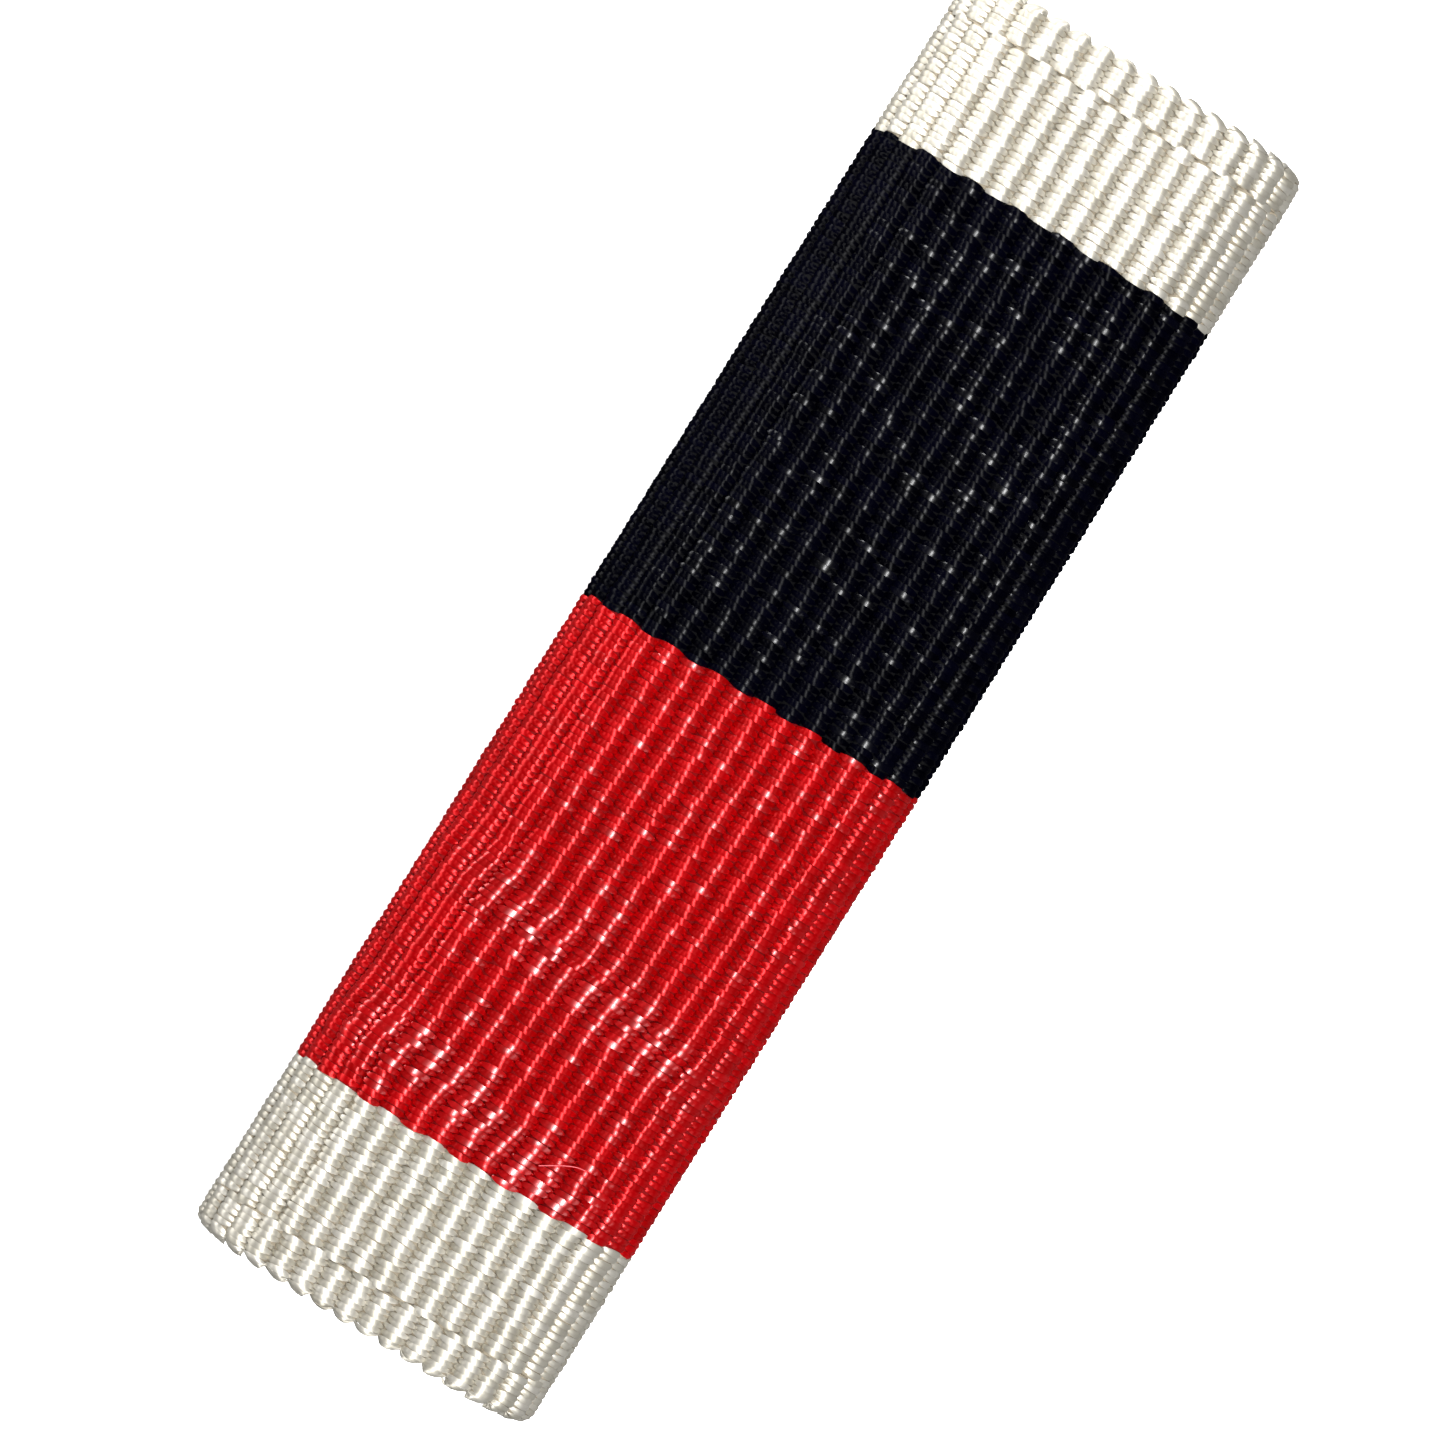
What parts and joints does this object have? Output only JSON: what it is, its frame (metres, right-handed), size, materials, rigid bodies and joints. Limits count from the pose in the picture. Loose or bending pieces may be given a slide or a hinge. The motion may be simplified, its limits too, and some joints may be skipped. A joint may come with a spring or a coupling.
{
  "type": "ribbon bar",
  "caption": "Ribbed, striped medal ribbon wrapped round a brass channel that slides on a mounting rail.",
  "frame": {"origin": "below the middle of the bar, on the plane that its back rests on", "axes": "+X along the bar, to the viewer's right when it is worn; +Y up when it is worn; +Z out of the ribbon's face"},
  "size_m": [0.0348, 0.0094, 0.0041],
  "materials": {
    "ribbon_cloth": "corded weave, four stripes: white, black, red, white",
    "rolled_brass": "rolled, lightly tarnished"
  },
  "bodies": {
    "root": {"ribbon": "ribbon_cloth", "channel_bar": "rolled_brass"}
  },
  "joints": []
}
